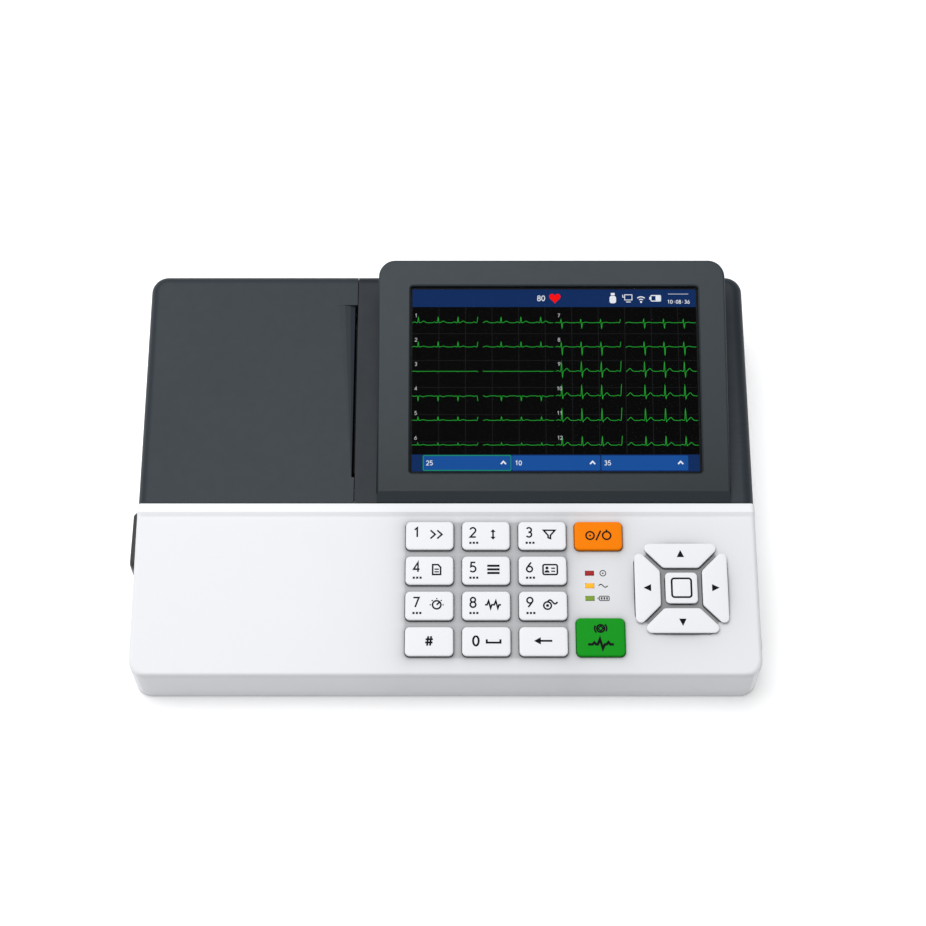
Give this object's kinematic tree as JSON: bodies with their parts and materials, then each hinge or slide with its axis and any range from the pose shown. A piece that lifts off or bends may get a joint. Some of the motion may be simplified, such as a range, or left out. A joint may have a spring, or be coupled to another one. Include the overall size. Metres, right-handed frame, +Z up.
{
  "type": "ecg machine",
  "caption": "Portable desk ECG machine: wedge case with a keyboard deck, a raised sloping screen, a hinged paper door over a chart printer, and side and rear sockets.",
  "frame": {"origin": "on the desk under the middle of the case", "axes": "+X to the operator's right, +Y to the rear, +Z up; the keyboard edge faces -Y"},
  "size_m": [0.3186, 0.2204, 0.0765],
  "materials": {
    "white_case": "fine-textured white moulding",
    "grey_base": "light grey moulding",
    "dark_cover": "fine-textured dark grey moulding",
    "dark_bezel": "satin dark grey moulding",
    "window": "clear cover window",
    "screen": "screen panel",
    "white_key": "satin white key",
    "orange_key": "satin orange key",
    "green_key": "satin green key",
    "red_lamp": "clear tinted light guide",
    "amber_lamp": "clear tinted light guide",
    "green_lamp": "clear tinted light guide",
    "rubber": "moulded rubber",
    "mat_rubber": "silicone mat",
    "steel": "bright steel",
    "zinc_sheet": "zinc-plated sheet",
    "motor_can": "dark motor can",
    "head_bar": "heat-sink bar with a ceramic line",
    "gear_plastic": "natural acetal",
    "paper": "thermal chart paper",
    "black_plastic": "black moulding",
    "grey_panel": "light grey moulding",
    "circuit_board": "green solder mask",
    "brass": "plated brass",
    "plated": "nickel plate",
    "battery_wrap": "shrink-wrapped cells",
    "speaker_frame": "small loudspeaker"
  },
  "bodies": {
    "case": {"housing": "white_case", "bottom_cover": "grey_base", "battery_cover": "grey_base", "battery_pack": "battery_wrap", "feet": "rubber", "case_screws": "steel", "speaker": "speaker_frame", "rear_cover": "dark_cover", "hinge_rod": "steel", "printer_frame": "zinc_sheet", "print_head": "head_bar", "stepper_motor": "motor_can", "paper_tray": "black_plastic", "display_bezel": "dark_bezel", "display_window": "window", "lcd_module": "screen", "display_case": "dark_bezel", "key_mat": "mat_rubber", "key_board": "circuit_board", "lamp_red": "red_lamp", "lamp_amber": "amber_lamp", "lamp_green": "green_lamp", "main_board": "circuit_board", "power_board": "circuit_board", "ac_inlet": "black_plastic", "inlet_blades": "plated", "port_panel": "grey_panel", "patient_socket": "black_plastic", "usb_socket": "plated", "lan_socket": "black_plastic", "equalisation_cup": "grey_panel", "ground_post": "brass"},
    "door": {"paper_door": "dark_cover", "platen_bushes": "gear_plastic"},
    "platen": {"platen_roller": "rubber", "platen_shaft": "steel", "platen_gear": "gear_plastic"},
    "idler": {"idler_gear": "gear_plastic"},
    "motor": {"motor_pinion": "gear_plastic"},
    "roll": {"paper_roll": "paper", "roll_spindle": "black_plastic"},
    "key_0": {"key_0": "white_key"},
    "key_1": {"key_1": "white_key"},
    "key_2": {"key_2": "white_key"},
    "key_3": {"key_3": "white_key"},
    "key_4": {"key_4": "white_key"},
    "key_5": {"key_5": "white_key"},
    "key_6": {"key_6": "white_key"},
    "key_7": {"key_7": "white_key"},
    "key_8": {"key_8": "white_key"},
    "key_9": {"key_9": "white_key"},
    "key_hash": {"key_hash": "white_key"},
    "key_back": {"key_back": "white_key"},
    "key_up": {"key_up": "white_key"},
    "key_left": {"key_left": "white_key"},
    "key_down": {"key_down": "white_key"},
    "key_right": {"key_right": "white_key"},
    "key_ok": {"key_ok": "white_key"},
    "key_power": {"key_power": "orange_key"},
    "key_start": {"key_start": "green_key"}
  },
  "joints": [
    {"name": "door_hinge", "type": "hinge", "parent": "case", "child": "door", "pos_m": [-0.1543, 0.0458, 0.03726], "axis": [0, -0.9949, -0.1011], "range_deg": [0, 95]},
    {"name": "platen_spin", "type": "hinge", "parent": "door", "child": "platen", "pos_m": [-0.0543, 0.04631, 0.03228], "axis": [0, 0.9949, 0.1011], "continuous": true},
    {"name": "idler_spin", "type": "hinge", "parent": "case", "child": "idler", "pos_m": [-0.04943, 0.10204, 0.02089], "axis": [0, 0.9949, 0.1011], "continuous": true},
    {"name": "motor_spin", "type": "hinge", "parent": "case", "child": "motor", "pos_m": [-0.03309, 0.09678, 0.02325], "axis": [0, 0.9949, 0.1011], "continuous": true},
    {"name": "roll_spin", "type": "hinge", "parent": "case", "child": "roll", "pos_m": [-0.1175, 0.04407, 0.02753], "axis": [0, 0.9949, 0.1011], "continuous": true},
    {"name": "key_0_press", "type": "slide", "parent": "case", "child": "key_0", "axis": [0, 0.1219, -0.9925], "range_m": [0, 0.0012], "stiffness_N_per_m": 1200},
    {"name": "key_1_press", "type": "slide", "parent": "case", "child": "key_1", "axis": [0, 0.1219, -0.9925], "range_m": [0, 0.0012], "stiffness_N_per_m": 1200},
    {"name": "key_2_press", "type": "slide", "parent": "case", "child": "key_2", "axis": [0, 0.1219, -0.9925], "range_m": [0, 0.0012], "stiffness_N_per_m": 1200},
    {"name": "key_3_press", "type": "slide", "parent": "case", "child": "key_3", "axis": [0, 0.1219, -0.9925], "range_m": [0, 0.0012], "stiffness_N_per_m": 1200},
    {"name": "key_4_press", "type": "slide", "parent": "case", "child": "key_4", "axis": [0, 0.1219, -0.9925], "range_m": [0, 0.0012], "stiffness_N_per_m": 1200},
    {"name": "key_5_press", "type": "slide", "parent": "case", "child": "key_5", "axis": [0, 0.1219, -0.9925], "range_m": [0, 0.0012], "stiffness_N_per_m": 1200},
    {"name": "key_6_press", "type": "slide", "parent": "case", "child": "key_6", "axis": [0, 0.1219, -0.9925], "range_m": [0, 0.0012], "stiffness_N_per_m": 1200},
    {"name": "key_7_press", "type": "slide", "parent": "case", "child": "key_7", "axis": [0, 0.1219, -0.9925], "range_m": [0, 0.0012], "stiffness_N_per_m": 1200},
    {"name": "key_8_press", "type": "slide", "parent": "case", "child": "key_8", "axis": [0, 0.1219, -0.9925], "range_m": [0, 0.0012], "stiffness_N_per_m": 1200},
    {"name": "key_9_press", "type": "slide", "parent": "case", "child": "key_9", "axis": [0, 0.1219, -0.9925], "range_m": [0, 0.0012], "stiffness_N_per_m": 1200},
    {"name": "key_hash_press", "type": "slide", "parent": "case", "child": "key_hash", "axis": [0, 0.1219, -0.9925], "range_m": [0, 0.0012], "stiffness_N_per_m": 1200},
    {"name": "key_back_press", "type": "slide", "parent": "case", "child": "key_back", "axis": [0, 0.1219, -0.9925], "range_m": [0, 0.0012], "stiffness_N_per_m": 1200},
    {"name": "key_up_press", "type": "slide", "parent": "case", "child": "key_up", "axis": [0, 0.1219, -0.9925], "range_m": [0, 0.0012], "stiffness_N_per_m": 1200},
    {"name": "key_left_press", "type": "slide", "parent": "case", "child": "key_left", "axis": [0, 0.1219, -0.9925], "range_m": [0, 0.0012], "stiffness_N_per_m": 1200},
    {"name": "key_down_press", "type": "slide", "parent": "case", "child": "key_down", "axis": [0, 0.1219, -0.9925], "range_m": [0, 0.0012], "stiffness_N_per_m": 1200},
    {"name": "key_right_press", "type": "slide", "parent": "case", "child": "key_right", "axis": [0, 0.1219, -0.9925], "range_m": [0, 0.0012], "stiffness_N_per_m": 1200},
    {"name": "key_ok_press", "type": "slide", "parent": "case", "child": "key_ok", "axis": [0, 0.1219, -0.9925], "range_m": [0, 0.0012], "stiffness_N_per_m": 1200},
    {"name": "key_power_press", "type": "slide", "parent": "case", "child": "key_power", "axis": [0, 0.1219, -0.9925], "range_m": [0, 0.0012], "stiffness_N_per_m": 1200},
    {"name": "key_start_press", "type": "slide", "parent": "case", "child": "key_start", "axis": [0, 0.1219, -0.9925], "range_m": [0, 0.0012], "stiffness_N_per_m": 1200}
  ],
  "couplings": [
    {"joint": "idler_spin", "follows": "platen_spin", "ratio": -0.66667},
    {"joint": "motor_spin", "follows": "platen_spin", "ratio": 1.1765}
  ]
}
